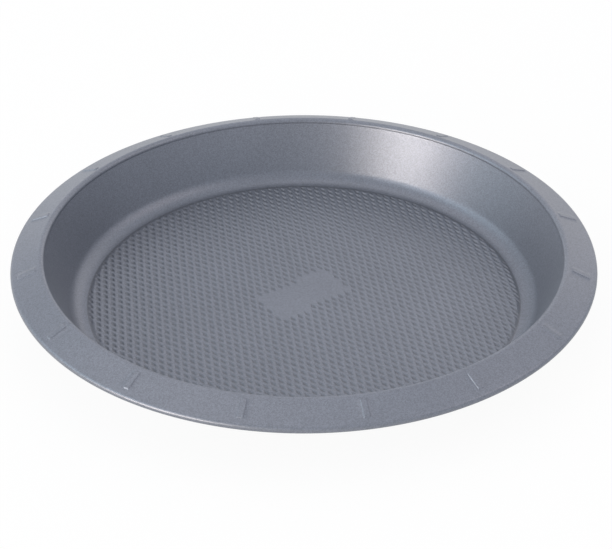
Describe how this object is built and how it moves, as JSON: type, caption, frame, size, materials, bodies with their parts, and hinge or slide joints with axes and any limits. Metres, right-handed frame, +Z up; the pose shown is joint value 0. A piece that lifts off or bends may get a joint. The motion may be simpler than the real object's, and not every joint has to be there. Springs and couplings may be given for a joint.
{
  "type": "baking pan",
  "caption": "Round shallow steel baking pan with a flared wall, a falling ribbed flange, a rolled edge and a non-stick coat inside.",
  "frame": {"origin": "middle of the base, on the surface that the pan stands on", "axes": "+Z up along the pan's axis, -Y to the front; the front is half-way between two flange ribs"},
  "size_m": [0.2798, 0.2798, 0.0309],
  "materials": {
    "coated_steel": "thin dark grey lacquer over pressed steel, half matt",
    "nonstick_coat": "satin grey non-stick coat with a fine metallic speckle"
  },
  "bodies": {
    "root": {"pressed_shell": "coated_steel", "inside_coating": "nonstick_coat"}
  },
  "joints": []
}
